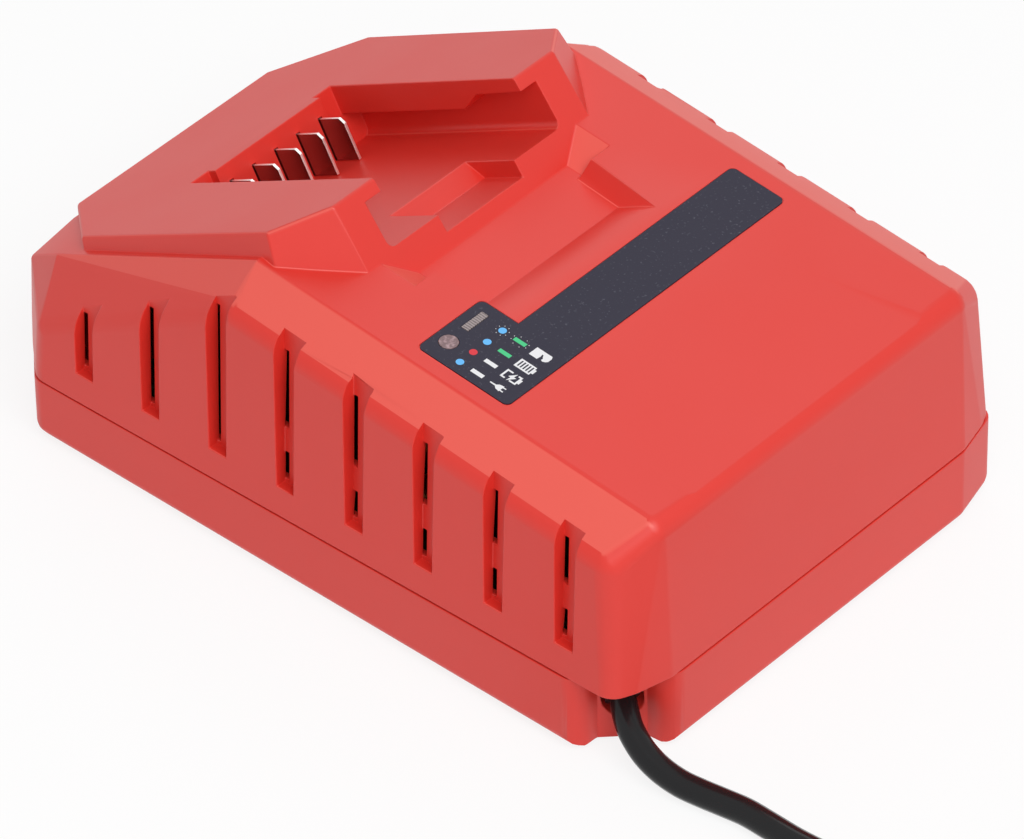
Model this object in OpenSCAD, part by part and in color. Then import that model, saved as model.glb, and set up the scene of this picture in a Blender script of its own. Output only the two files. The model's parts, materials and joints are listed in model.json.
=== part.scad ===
// Bench charger for slide-in tool batteries: two moulded shells, a sloping dock with contact
// blades, a status panel, the charging electronics and a mains lead with its plug.
// Millimetres. The origin is on the supporting surface, midway between the sides and between
// the front and rear walls. +Z is up, -Y is the front edge and +Y is the rear.

/* [Body] */
// Width over the side walls at the parting line
body_w = 134; // [128:1:142]
// Length over the front and rear walls at the parting line
body_l = 202; // [198:1:208]
// Thickness of the moulded walls
wall = 2.5; // [2:0.1:3]
// Rounding of the upright corners
corner_r = 5; // [3:0.5:6]
// Width of the slanted face at each front corner
front_facet_w = 15.8; // [12:0.2:18]
// How far that face falls back
front_facet_l = 4.1; // [2:0.1:6]
// Size of the slanted face at each rear corner
rear_facet = 18; // [14:0.5:20]
// Inward lean of the upper walls in degrees
draft = 2.5; // [1:0.1:3]

/* [Top] */
// Height of the ridge across the top
crease_z = 77.7; // [76:0.1:80]
// How far the ridge lies behind the middle
crease_y = 22.5; // [20:0.5:25]
// Fall of the front of the top in degrees
front_fall = 4.8; // [4:0.1:5.5]
// Fall of the shoulders behind the ridge in degrees
rear_fall = 27.2; // [26.5:0.1:28]
// Width of the slanted edge along each side
shoulder_w = 14.5; // [12:0.5:16]
// Drop of the slanted edge at the front and the ridge
shoulder_drop = 7.4; // [6:0.1:9]
// Height of the shoulder's rim at the rear corners
rear_rim_z = 35; // [33:0.5:37]
// Rounding of the front top edge
front_r = 5; // [3:0.5:6]
// Rounding of the rim between the slanted edge and the side wall
rim_r = 6.5; // [3:0.5:8]

/* [Base] */
// Height of the parting line at the middle
parting_z = 19.8; // [18:0.1:22]
// Fall of the parting line towards the rear in degrees
parting_fall = 1.24; // [0.8:0.1:1.5]
// Shadow gap between the shells
parting_gap = 0.4; // [0.2:0.1:0.6]
// Rounding of the bottom edge
base_r = 3; // [1:0.5:4]
// Thickness of the feet below the shell
foot_out = 1.2; // [1:0.1:2]
// Radius of a foot
foot_r = 6.5; // [5:0.5:7]
// Radius of a keyhole's round end
keyhole_r = 4.5; // [4:0.1:5]
// Width of a keyhole's neck
keyhole_neck = 4.6; // [4:0.1:5]
// Distance between the keyholes
keyhole_pitch = 100; // [80:1:110]

/* [Dock] */
// Slope of the dock in degrees
dock_tilt = 29.2; // [28.5:0.1:29.8]
// Height of the contact wall's upper edge
dock_z = 58.2; // [57.5:0.1:59]
// Distance of the contact wall's edge from the rear wall
dock_back = 32; // [31:0.5:33]
// Half width of the dock
dock_half = 50; // [48:0.5:51]
// Length of the dock in front of the contact wall
dock_front = 64.7; // [63:0.1:66]
// Half width between the lips
slot_half = 23.9; // [22:0.1:25]
// Half width of the channel under the lips
channel_half = 29.2; // [28:0.1:30]
// Depth of the channel's floor
channel_depth = 15.7; // [15:0.1:17]
// Thickness of the lips at the rear
lip_rear = 7.6; // [6:0.1:8]
// Thickness of the lips at the front
lip_front = 4; // [3:0.1:5]
// Half width of the notch in the channel's front
notch_half = 13; // [10:0.5:15]
// Depth of that notch's floor
notch_depth = 20.1; // [19:0.1:21]

/* [Contacts] */
// Number of contact blades
blade_count = 5; // [3:1:5]
// Distance from blade to blade
blade_pitch = 7.6; // [7:0.1:8]
// Thickness of a blade
blade_t = 0.8; // [0.6:0.1:1]
// How far a blade stands out of the wall
blade_out = 8.5; // [7:0.5:10]

/* [Panel] */
// Half width of the status panel
label_half = 48; // [46:0.5:49]
// Length of the panel's strip from front to rear
label_strip = 16.1; // [14:0.1:17]
// Width of the panel's block of lamps
label_block_w = 21.8; // [20:0.1:24]
// Length of that block behind the strip
label_block_l = 11.2; // [10:0.1:12]
// Distance of the panel's front edge from the front wall
label_front = 51.5; // [50:0.1:56]
// Depth of the panel's bed
label_bed = 0.5; // [0.4:0.05:0.8]
// Thickness of the panel's film
label_t = 0.35; // [0.2:0.05:0.4]

/* [Vents] */
// Number of vents on each side
vent_count = 8; // [4:1:8]
// Distance from vent to vent
vent_pitch = 21.2; // [19:0.1:21.2]
// Width of a vent at its foot
vent_w = 5.3; // [4:0.1:6]
// Height of the vents above the parting line
vent_rise = 8.5; // [7:0.5:10]
// Depth of a vent's pocket in from the side wall
vent_in = 3.3; // [2.8:0.1:4.2]
// Width of the slit along a pocket's rear side
slit_w = 1.2; // [0.8:0.1:1.6]

/* [Recess] */
// Depth of the hollow in front of the dock
scoop_depth = 5.2; // [4:0.1:6]
// Half width of the hollow's floor
scoop_half = 25; // [22:0.5:26]
// Length of the hollow in front of the dock
scoop_l = 34; // [30:0.5:36]
// Depth of the shallow dish at the front of the top
dish_depth = 1.1; // [0.6:0.1:1.5]

/* [Lead] */
// Diameter of the mains lead
cord_d = 6.5; // [6:0.1:7]
// Radius of the coil's outermost loop
coil_r = 49.5; // [48.5:0.5:50.5]
// Turns in each of the coil's two layers
layer_turns = 3.5; // [2.5:0.5:3.5]
// Gap left between loops
coil_gap = 0.5; // [0.45:0.05:0.8]
// Length of a plug pin
pin_l = 19; // [17:0.5:19]
// Diameter of a plug pin
pin_d = 4; // [3.6:0.1:4.8]
// Distance between the plug pins
pin_pitch = 19; // [18:0.5:20]
// Width of the plug
plug_w = 35; // [32:1:38]
// Thickness of the plug
plug_t = 14; // [12:0.5:16]
// Length of the plug's body
plug_l = 36; // [30:1:40]

/* [Board] */
// Thickness of the circuit boards
board_t = 1.6; // [1:0.1:2]
// Height of the stand-offs under the main board
standoff_h = 4.3; // [4:0.1:6]
// Radius of a housing screw's shank
screw_r = 1.5; // [1.2:0.1:1.8]
// Radius of a housing screw's head
screw_head_r = 3; // [2.6:0.1:3.2]

/* [Hidden] */
$fn = 32;
eps = 0.01;
clear = 0.3;            // running clearance between separate pieces
half_w = body_w / 2;
front_y = -body_l / 2;
rear_y = body_l / 2;
edge_x = half_w - shoulder_w;
dock_y = rear_y - dock_back;
floor_z = foot_out + wall;
board_z = floor_z + standoff_h;
board_top = board_z + board_t;
rear_lip_x = half_w - rear_facet;
side_rear_y = rear_y - rear_facet;
rim_rear_y = side_rear_y - 1;

// Height of the top's surface, of the shoulder's rim and of the shell over the posts along the body
function roof_z(y) = y < crease_y ? crease_z - (crease_y - y) * tan(front_fall)
                                  : crease_z - (y - crease_y) * tan(rear_fall);
function rim_z(y) = y < crease_y ? roof_z(y) - shoulder_drop
    : crease_z - shoulder_drop
      - (y - crease_y) * (crease_z - shoulder_drop - rear_rim_z) / (rim_rear_y - crease_y);
function cover_z(y) = y < crease_y ? roof_z(y)
    : max(roof_z(y), crease_z - (y - crease_y) * (crease_z - rear_rim_z) / (rear_y - crease_y));
function parting_at(y) = parting_z - y * tan(parting_fall);
function lean(z) = (z - parting_z) * tan(draft);

// Outline of the body seen from above, before its corners are rounded
plan_points = [
    [half_w, front_y + front_facet_l], [half_w - front_facet_w, front_y],
    [front_facet_w - half_w, front_y], [-half_w, front_y + front_facet_l],
    [-half_w, side_rear_y], [-rear_lip_x, rear_y], [rear_lip_x, rear_y], [half_w, side_rear_y]
];

// Bay at the front left corner of the base, where the lead comes out
bay_x = 15;             // from the side wall
bay_y = 15;             // from the front wall
bay_cut = 8;            // slanted wall in the bay's inner corner
bay_points = [
    [-half_w - 20, front_y + bay_y], [bay_x - bay_cut - half_w, front_y + bay_y],
    [bay_x - half_w, front_y + bay_y - bay_cut], [bay_x - half_w, front_y - 20],
    [-half_w - 20, front_y - 20]
];

// Screw posts, stand-offs and feet
post_front_x = 36;      // clear of the lead's way in
post_rear_x = 47;
post_front_y = front_y + 17;
post_rear_y = rear_y - 17;
post_r = 4;
post_sunk = dish_depth - 0.2;   // the posts end inside the top's wall, below its dish
boss_r = 5;
head_z = floor_z + 3;
screw_up = 10;          // length of screw above the parting line
posts = concat(
    [for (x = [-1, 1]) [x * post_front_x, post_front_y]],
    [for (x = [-1, 1]) [x * post_rear_x, post_rear_y]]
);
feet = [for (x = [-1, 1]) for (y = [-1, 1]) [x * (half_w - 13), y * (rear_y - 27)]];
foot_bed = 1;

// Main board
board_half = 48;
board_front = front_y + 35;
board_rear = dock_y + 5;
board_pins = [for (x = [-1, 1]) for (y = [board_front + 6, board_rear - 6]) [x * (board_half - 6), y]];
board_screw_r = 1.3;
board_head_r = 2.6;

// Contact blades, in the dock's own frame: y runs back down the slope and z is square to it
blade_top = -4.4;
blade_foot = -channel_depth + 0.3;
slot_step = 2.6;        // side corners of the channel's rear wall lie this far back
wall_back = 5;          // thickness of the contact wall
contact_half = 18.1;
carrier_l = 7;
tail_z = -channel_depth - 4;
blade_xs = [for (k = [0:blade_count - 1]) 0.4 + (k - (blade_count - 1) / 2) * blade_pitch];

// Status windows, in the top's own frame measured back from the ridge
label_y = front_y + label_front - crease_y;
label_rear_y = label_y + label_strip;
bar_window = [15.4 - label_half, label_rear_y + 7.5];
round_window = [6.2 - label_half, label_rear_y + 7.2];
bar_size = [7, 2];
round_r = 2.3;
pipe_l = 8;
display_z = -pipe_l - 2.5;
display_posts = [[18 - label_half, label_y + 3], [3 - label_half, label_rear_y + 14]];

// Mains lead: the way out, then the points that it follows from there, chosen by hand
exit_heading = 34;      // degrees from straight ahead towards the left side
exit_fall = 30;         // degrees downwards
exit_point = [bay_x - bay_cut / 2 - half_w, front_y + bay_y - bay_cut / 2, 13];
exit_dir = [-sin(exit_heading) * cos(exit_fall), -cos(exit_heading) * cos(exit_fall), -sin(exit_fall)];
coil_c = [8, -234];
tie_t = 0.6;
coil_z = cord_d / 2 + tie_t + 0.1;
layer_z = coil_z + cord_d + coil_gap;
coil_left = coil_c.x - coil_r;
coil_in_y = coil_c.y + cord_d;
coil_out_y = coil_c.y - cord_d;
lead_route = [
    exit_point, exit_point + cord_d * exit_dir, [-60.7, -98.5, 7.8], [-61.6, -102.5, 6.2],
    [-61.8, -107, 4.8], [-61.4, -112, 3.8], [-60.5, -117, 3.4], [-59.4, -123, 3.3],
    [-58.5, -129, 3.3], [-58.5, -136, 3.3], [-58.5, -145, 3.3], [-57.5, -155, 3.4],
    [-55.5, -165, 3.5], [-52.5, -175, 3.6], [-49.5, -185, 3.7], [-46.5, -195, 3.8],
    [-44, -205, 3.9], [-42.2, -215, 4],
    [coil_left, coil_in_y + 2, coil_z], [coil_left, coil_in_y, coil_z]
];
plug_z = plug_t / 2;
plug_drop = layer_z - plug_z;
// How far along the plug's end of the lead, and the share of its drop by there
plug_falls = [[0, 0], [4, 0], [9, 0.09], [13, 0.26], [17.5, 0.5], [22, 0.74], [26, 0.91], [31, 1], [32, 1]];
plug_lead_l = plug_falls[len(plug_falls) - 1].x;
plug_relief_l = 26;
plug_y = coil_out_y - plug_lead_l - plug_relief_l;
plug_route = [for (p = plug_falls) [coil_left, coil_out_y - p.x, layer_z - p.y * plug_drop]];

// The coil runs from its left-hand side round the front: in along the lower layer, up a layer in
// the half turn where it reverses, and out again along the upper layer
coil_pitch = cord_d + coil_gap;
coil_steps = 24;
function coil_radius(t) = coil_r - coil_pitch * (layer_turns - abs(t - layer_turns));
function coil_height(t) = let (u = min(max((t - layer_turns) * 4, -1), 1))
    (coil_z + layer_z) / 2 + (layer_z - coil_z) / 2 * sin(90 * u);
coil_route = concat(
    [[coil_left, coil_in_y, coil_z]],
    [for (k = [0:2 * layer_turns * coil_steps]) let (t = k / coil_steps)
        [coil_c.x - coil_radius(t) * cos(360 * t), coil_c.y - coil_radius(t) * sin(360 * t), coil_height(t)]],
    [[coil_left, coil_out_y, layer_z]]
);
coil_least = min([for (i = [1:len(coil_route) - 2]) for (j = [i + 8:len(coil_route) - 2])
    norm(coil_route[i] - coil_route[j])]) - cord_d;
echo(coil_least_gap = coil_least);

// A tube along a list of points, closed at both ends
function unit(v) = v / norm(v);
function heading(p, i) = unit(p[min(i + 1, len(p) - 1)] - p[max(i - 1, 0)]);
function ring(p, t, r, n) = let (s = unit(cross(t, [0, 0, 1])), u = cross(s, t))
    [for (k = [0:n - 1]) let (a = 360 * (k + 0.5) / n) p + r * (cos(a) * s + sin(a) * u)];
module tube(p, r, n) {
    last = (len(p) - 1) * n;
    polyhedron(
        [for (i = [0:len(p) - 1]) each ring(p[i], heading(p, i), r, n)],
        concat(
            [for (i = [0:len(p) - 2]) for (k = [0:n - 1]) let (a = i * n + k, b = i * n + (k + 1) % n)
                each [[a, b, b + n], [a, b + n, a + n]]],
            [for (k = [1:n - 2]) [0, k + 1, k]],
            [for (k = [1:n - 2]) [last, last + k, last + k + 1]]
        )
    );
}

// Outline of the body, grown or shrunk, without and with the bay
module plan(grow) {
    offset(r = corner_r) offset(delta = grow - corner_r) polygon(plan_points);
}

module plan_bay(grow) {
    offset(r = corner_r) offset(delta = grow - corner_r) difference() {
        polygon(plan_points);
        polygon(bay_points);
    }
}

// Everything below the tilted parting plane, raised or lowered by a shift
module below_parting(shift) {
    translate([0, 0, parting_z + shift]) rotate([-parting_fall, 0, 0])
        translate([-2 * body_w, -body_l, -100]) cube([4 * body_w, 2 * body_l, 100]);
}

// The frames of the sloping top, of the dock, and of the lead's way out (z outwards)
module on_top() {
    translate([0, crease_y, crease_z]) rotate([front_fall, 0, 0]) children();
}

module on_dock() {
    translate([0, dock_y, dock_z]) rotate([-dock_tilt, 0, 0]) children();
}

module on_exit() {
    translate(exit_point) rotate([0, 90 + exit_fall, atan2(exit_dir.y, exit_dir.x)]) children();
}

// Drafted body with its sloping top and slanted shoulders, shrunk by an inset
module crown(inset, r) {
    e = inset + r;
    big = max(front_r - inset, r);
    soft = max(rim_r - inset, r);
    rim_e = inset + soft;
    turn = max(corner_r, rim_e);
    rim_front_z = rim_z(front_y);
    hull() {
        translate([0, 0, floor_z]) linear_extrude(eps) plan(-lean(floor_z) - inset);
        for (s = [-1, 1]) {
            for (a = [0:25:75])
                translate([
                    s * (half_w - lean(rim_front_z) - turn + (turn - rim_e) * cos(a)),
                    front_y + front_facet_l + lean(rim_front_z) + turn - 1 - (turn - rim_e) * sin(a),
                    rim_front_z - 0.58 * rim_e
                ]) sphere(soft, $fn = 32);
            translate([
                s * (half_w - front_facet_w), front_y + lean(rim_front_z) + inset + big,
                roof_z(front_y) - inset - big
            ]) sphere(big, $fn = 32);
            translate([s * (edge_x - 0.27 * e), crease_y, crease_z - e]) sphere(r, $fn = 16);
            translate([
                s * (half_w - lean(rim_z(crease_y)) - rim_e), crease_y - 2,
                rim_z(crease_y) - 0.58 * rim_e
            ]) sphere(soft, $fn = 32);
            translate([s * (edge_x - 0.3 * e), rear_y - 14, roof_z(rear_y - 14) - e])
                sphere(r, $fn = 16);
            translate([s * (rear_lip_x - 15), rear_y - e, roof_z(rear_y) - e])
                sphere(r, $fn = 16);
            translate([
                s * (half_w - lean(rear_rim_z) - rim_e), rim_rear_y - 0.4 * rim_e,
                rear_rim_z - 0.5 * rim_e
            ]) sphere(soft, $fn = 32);
            translate([s * (rear_lip_x - 0.4 * e), rear_y - lean(rear_rim_z) - e, rear_rim_z - 0.5 * e])
                sphere(r, $fn = 16);
        }
    }
}

// Raised block that carries the dock, square to its slope, shrunk by an inset
module dock_block(inset, r) {
    e = inset + r;
    deep = 28;
    flare = 0.2 * deep;
    rear_end = dock_back / cos(dock_tilt);
    on_dock() hull() {
        for (s = [-1, 1]) {
            translate([s * (dock_half - 17 - 0.5 * e), rear_end - 1.2 * e, -e]) sphere(r, $fn = 16);
            translate([s * (dock_half - e), 15.6 - 0.5 * e, -e]) sphere(r, $fn = 16);
            translate([s * (dock_half - e), 0.5 * e - dock_front + 11, -e]) sphere(r, $fn = 16);
            translate([s * (dock_half - 12.5 - 0.3 * e), e - dock_front, -e]) sphere(r, $fn = 16);
        }
        translate([0, 0, -deep]) linear_extrude(eps) offset(delta = -inset) polygon([
            [17 - dock_half, rear_end], [dock_half - 17, rear_end], [dock_half + flare, 15.6],
            [dock_half + flare, 11 - dock_front], [dock_half - 12, -dock_front - 4],
            [12 - dock_half, -dock_front - 4], [-dock_half - flare, 11 - dock_front],
            [-dock_half - flare, 15.6]
        ]);
    }
}

// Space that the battery's foot slides into: the slot, the channel under the lips and the notch
module battery_channel() {
    long = dock_front + 12;
    floor_r = 2;
    on_dock() {
        translate([-slot_half, -long, -lip_rear - 1]) cube([2 * slot_half, long + slot_step, 20]);
        intersection() {
            rotate([90, 0, 0]) translate([0, 0, -slot_step]) linear_extrude(long + slot_step)
                offset(r = floor_r) offset(delta = -floor_r)
                    polygon([[-channel_half, -channel_depth], [channel_half, -channel_depth],
                             [channel_half, 10], [-channel_half, 10]]);
            translate([-channel_half - 1, 0, 0]) rotate([90, 0, 90])
                linear_extrude(2 * channel_half + 2) polygon([
                    [slot_step, -lip_rear], [slot_step, -channel_depth - 1], [-long, -channel_depth - 1],
                    [-long, -lip_front + 0.6], [16 - dock_front, -lip_front],
                    [22 - dock_front, -lip_rear]
                ]);
        }
        translate([-notch_half, 0, 0]) rotate([90, 0, 90]) linear_extrude(2 * notch_half)
            polygon([
                [15.4 - dock_front, -channel_depth + eps], [10.7 - dock_front, -notch_depth],
                [-long, -notch_depth], [-long, -channel_depth + eps]
            ]);
    }
}

// The contact wall stands a little forward of the channel's rear corners, with a slit per blade
module contact_wall() {
    on_dock() difference() {
        translate([-contact_half, 0, -channel_depth - 1])
            cube([2 * contact_half, slot_step + 1, channel_depth + 1]);
        blade_slits();
    }
}

module blade_slits() {
    for (x = blade_xs)
        translate([x - blade_t / 2 - clear, -1, blade_foot - 0.2])
            cube([blade_t + 2 * clear, wall_back + 2, blade_top - blade_foot + 0.5]);
}

// Hollow between the dock and the panel, with a wider scoop beside the dock's front
module scoop() {
    ear = 9;
    on_top() {
        hull() {
            translate([0, 0, -scoop_depth]) linear_extrude(eps) polygon([
                [-scoop_half, 0], [1.7 - scoop_half, -43], [scoop_half - 1.7, -43], [scoop_half, 0]
            ]);
            translate([0, 0, 1]) linear_extrude(eps) polygon([
                [-scoop_half - 4.5, 0], [-scoop_half - 1, -20 - scoop_l],
                [scoop_half + 1, -20 - scoop_l], [scoop_half + 4.5, 0]
            ]);
        }
        hull() {
            translate([-scoop_half - 0.5, -30, -scoop_depth]) cube([2 * scoop_half + 1, 20, eps]);
            translate([-scoop_half - ear, -31, 0.2]) cube([2 * (scoop_half + ear), 20, eps]);
        }
    }
}

// Shallow dish at the front of the top
module dish() {
    reach = crease_y - front_y + 5;
    on_top() hull() {
        translate([0, 0, -dish_depth]) linear_extrude(eps)
            polygon([[-33, -86], [-40, -reach], [40, -reach], [33, -86]]);
        translate([0, 0, 0.5]) linear_extrude(eps)
            polygon([[-40, -76], [-50, -reach], [50, -reach], [40, -76]]);
    }
}

// Outline of the status panel: a strip across the top and a block of lamps at its left end
module panel_outline(grow) {
    r = 1.6;
    offset(r = r) offset(delta = grow - r) polygon([
        [-label_half, label_y], [label_half, label_y], [label_half, label_rear_y],
        [label_block_w - label_half, label_rear_y],
        [label_block_w - label_half, label_rear_y + label_block_l],
        [-label_half, label_rear_y + label_block_l]
    ]);
}

module window_outlines(grow) {
    translate(bar_window)
        square([bar_size.x + 2 * grow, bar_size.y + 2 * grow], center = true);
    translate(round_window) circle(round_r + grow);
}

// Side vents: pockets that run up through the shoulder, their slits, and the walls behind them
vent_tall = 60;         // height over which a vent widens
vent_lean = 4;          // inward lean of a pocket's back in degrees
slit_lip = 0.5;         // thickness at a slit; behind it the wall opens wider
slit_open = 1.6;
vent_flare = 1.7;       // how much wider it is up there
vent_back = 2;          // thickness of the walls behind and beside a pocket
slit_foot = 0.9;        // solid foot below a slit
slit_head = 2.7;        // solid wall above it
bridge_from = 3;        // from this vent on, counted from the rear, a bridge crosses the slit
bridge_foot = 8.5;
bridge_h = 7;
function vent_y(i) = rear_y - 36.9 - i * vent_pitch;
function vent_z(i) = parting_at(vent_y(i)) + vent_rise;

module each_vent() {
    for (s = [0, 1]) mirror([s, 0, 0]) for (i = [0:vent_count - 1])
        translate([0, vent_y(i), vent_z(i)]) {
            $vent = i;
            children();
        }
}

// A plate in a vent's own frame, its outer face at the pocket's back, leaning with it
module vent_plate(from, thick) {
    translate([half_w - vent_in, 0, 0]) rotate([0, -vent_lean, 0]) translate([from, 0, 0])
        rotate([90, 0, 90]) linear_extrude(thick) children();
}

module slit_outline(extra) {
    slit_top = rim_z(vent_y($vent)) - vent_z($vent) - slit_head;
    difference() {
        intersection() {
            polygon([
                [vent_w - slit_w, 0], [vent_w + extra, 0], [vent_w + vent_flare + extra, vent_tall],
                [vent_w + vent_flare - slit_w, vent_tall]
            ]);
            translate([0, slit_foot]) square([2 * vent_w, slit_top - slit_foot]);
        }
        if ($vent >= bridge_from) translate([0, bridge_foot]) square([2 * vent_w, bridge_h]);
    }
}

module vent_pockets() {
    each_vent() {
        vent_plate(0, 20)
            polygon([[0, 0], [vent_w, 0], [vent_w + vent_flare, vent_tall], [0, vent_tall]]);
        vent_plate(-slit_lip - eps, 1) slit_outline(0);
        vent_plate(-vent_back - 2, vent_back + 2 - slit_lip) slit_outline(slit_open);
    }
}

module vent_walls() {
    each_vent() vent_plate(-vent_back, 20) translate([-vent_back, -vent_back])
        square([vent_w + vent_flare + 2 * vent_back, vent_tall + 10]);
}

// Inside of the upper shell, kept clear of the walls round every hollow
module upper_cavity() {
    difference() {
        union() {
            crown(wall, 1);
            dock_block(wall + 0.5, 1);
        }
        vent_walls();
        on_dock() {
            translate([-channel_half - wall, -dock_front - 12, -channel_depth - wall])
                cube([2 * (channel_half + wall), dock_front + 12 + wall_back, 60]);
            translate([-notch_half - wall, -dock_front - 12, -notch_depth - wall])
                cube([2 * (notch_half + wall), 31, 60]);
        }
        on_top() {
            translate([0, 0, -scoop_depth - wall]) linear_extrude(30) polygon([
                [-scoop_half - 6.5, 0], [-scoop_half - 3.3, -22 - scoop_l],
                [scoop_half + 3.3, -22 - scoop_l], [scoop_half + 6.5, 0]
            ]);
            translate([-scoop_half - 11, -33, -scoop_depth - wall]) cube([2 * (scoop_half + 11), 33, 30]);
        }
        linear_extrude(parting_at(front_y) + wall) offset(delta = wall) polygon(bay_points);
    }
}

module upper_housing() {
    color([0.86, 0.24, 0.20]) {
        difference() {
            union() {
                difference() {
                    crown(0, 1.5);
                    scoop();
                    dish();
                }
                dock_block(0, 1.2);
            }
            difference() {
                battery_channel();
                contact_wall();
            }
            on_dock() blade_slits();
            upper_cavity();
            vent_pockets();
            below_parting(parting_gap);
            on_top() {
                translate([0, 0, -label_bed]) linear_extrude(2) panel_outline(0.2);
                translate([0, 0, -12]) linear_extrude(13) window_outlines(0.15);
            }
        }
        for (p = posts) difference() {
            translate([p.x, p.y, parting_at(p.y) - 1])
                cylinder(h = cover_z(p.y) - parting_at(p.y) - post_sunk, r = post_r);
            below_parting(0);
            translate([p.x, p.y, 0]) cylinder(h = parting_at(p.y) + screw_up + 2, r = screw_r + 0.1);
        }
        on_top() for (p = display_posts) difference() {
            translate([p.x, p.y, display_z]) cylinder(h = -display_z - 1.5, r = 2.6);
            translate([p.x, p.y, display_z - 1]) cylinder(h = 6, r = 1.1);
        }
    }
}

module lower_housing() {
    tongue_t = 1.2;
    tongue_up = 1.8;
    color([0.80, 0.24, 0.21]) difference() {
        union() {
            difference() {
                intersection() {
                    hull() {
                        for (a = [0:22.5:90])
                            translate([0, 0, foot_out + base_r * (1 - cos(a))])
                                linear_extrude(eps) plan(-base_r * (1 - sin(a)));
                        translate([0, 0, parting_at(front_y) + 5]) linear_extrude(eps) plan(0);
                    }
                    linear_extrude(60) plan_bay(0);
                }
                translate([0, 0, floor_z]) linear_extrude(60) plan_bay(-wall);
                difference() {
                    translate([-body_w, -body_l, 0]) cube([2 * body_w, 2 * body_l, 90]);
                    below_parting(0);
                }
            }
            // tongue inside the parting line
            intersection() {
                below_parting(tongue_up);
                difference() {
                    translate([0, 0, 10]) linear_extrude(50) difference() {
                        plan_bay(-wall - clear);
                        plan_bay(-wall - clear - tongue_t);
                    }
                    below_parting(-3);
                }
            }
            intersection() {
                below_parting(-1);
                difference() {
                    translate([0, 0, 10]) linear_extrude(50) difference() {
                        plan_bay(0.1 - wall);
                        plan_bay(-wall - clear - tongue_t);
                    }
                    below_parting(-3);
                }
            }
            intersection() {
                union() {
                    for (p = posts) translate([p.x, p.y, floor_z - 1]) cylinder(h = 40, r = boss_r);
                    on_exit() translate([0, 0, -10]) cylinder(h = 10, r = 7);
                }
                below_parting(0);
                linear_extrude(60) plan_bay(-1);
            }
            for (p = board_pins) translate([p.x, p.y, floor_z - 1]) cylinder(h = standoff_h + 1, r = 3.2);
        }
        for (p = posts) translate([p.x, p.y, -1]) {
            cylinder(h = 60, r = screw_r + 0.2);
            cylinder(h = head_z + 1, r = screw_head_r + 0.4);
        }
        for (p = board_pins) translate([p.x, p.y, floor_z - 0.8]) cylinder(h = 10, r = board_screw_r + 0.1);
        for (p = feet) translate([p.x, p.y, -1]) cylinder(h = foot_out + foot_bed + 1, r = foot_r + 0.2);
        on_exit() translate([0, 0, -20]) cylinder(h = 30, r = 4.9);
        for (y = [-0.5, 0.5]) translate([0, y * keyhole_pitch, -1]) {
            cylinder(h = floor_z + 2, r = keyhole_r);
            translate([-keyhole_neck / 2, 0, 0]) cube([keyhole_neck, 9, floor_z + 2]);
            translate([0, 9, 0]) cylinder(h = floor_z + 2, r = keyhole_neck / 2);
        }
        for (x = [-4.5:4.5]) translate([x * 6 - 1, -20, -1]) cube([2, 40, floor_z + 2]);
    }
}

module label_overlay() {
    color([0.22, 0.22, 0.23]) on_top() translate([0, 0, -label_bed]) linear_extrude(label_t)
        difference() {
            panel_outline(0);
            window_outlines(0.15);
        }
}

// Light guides that end flush with the panel and stand on the lamps below
module status_window_bar() {
    color([0.62, 0.50, 0.50]) on_top() translate(concat(bar_window, 0)) {
        translate([-bar_size.x / 2, -bar_size.y / 2, -pipe_l]) cube([bar_size.x, bar_size.y, pipe_l - 0.1]);
        translate([-bar_size.x / 2 - 0.6, -bar_size.y / 2 - 1, -wall - 1.3])
            cube([bar_size.x + 1.2, bar_size.y + 2, 1]);
    }
}

module status_window_round() {
    color([0.70, 0.52, 0.52]) on_top() translate(concat(round_window, 0)) {
        translate([0, 0, -pipe_l]) cylinder(h = pipe_l - 0.1, r = round_r);
        translate([0, 0, -wall - 1.3]) cylinder(h = 1, r = round_r + 1);
    }
}

// Blades: the part in the channel, the shank through the wall and the tail behind the carrier
module blade_profile() {
    polygon([
        [-blade_out, blade_foot], [-blade_out, blade_top - 1.4], [1.2 - blade_out, blade_top],
        [wall_back + carrier_l + 2.4, blade_top], [wall_back + carrier_l + 2.4, tail_z],
        [wall_back + carrier_l + 0.4, tail_z], [wall_back + carrier_l + 0.4, blade_foot]
    ]);
}

module contact_blades() {
    color([0.80, 0.78, 0.72]) on_dock() for (x = blade_xs)
        translate([x - blade_t / 2, 0, 0]) rotate([90, 0, 90]) linear_extrude(blade_t) blade_profile();
}

module contact_carrier() {
    half = contact_half - 1;
    color([0.12, 0.12, 0.13]) on_dock() difference() {
        translate([-half, wall_back, -channel_depth - 1.2])
            cube([2 * half, carrier_l, channel_depth - 2.4]);
        for (x = blade_xs) translate([x - blade_t / 2, 0, blade_foot])
            cube([blade_t, 40, blade_top - blade_foot]);
    }
}

module contact_leads() {
    color([0.75, 0.10, 0.10]) difference() {
        on_dock() for (x = blade_xs) translate([x, wall_back + carrier_l + 1.4, tail_z - 60])
            cylinder(h = 60, r = 1);
        translate([-body_w, -body_l, board_top - 100]) cube([2 * body_w, 2 * body_l, 100]);
    }
}

module main_board() {
    color([0.10, 0.35, 0.18]) difference() {
        translate([-board_half, board_front, board_z]) cube([2 * board_half, board_rear - board_front, board_t]);
        for (p = board_pins) translate([p.x, p.y, 0]) cylinder(h = 40, r = board_screw_r + 0.2);
    }
}

module board_screws() {
    color("silver") for (p = board_pins) translate([p.x, p.y, board_top]) {
        cylinder(h = 1.8, r = board_head_r);
        translate([0, 0, -board_t - 3.5]) cylinder(h = board_t + 4, r = board_screw_r);
    }
}

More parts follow.
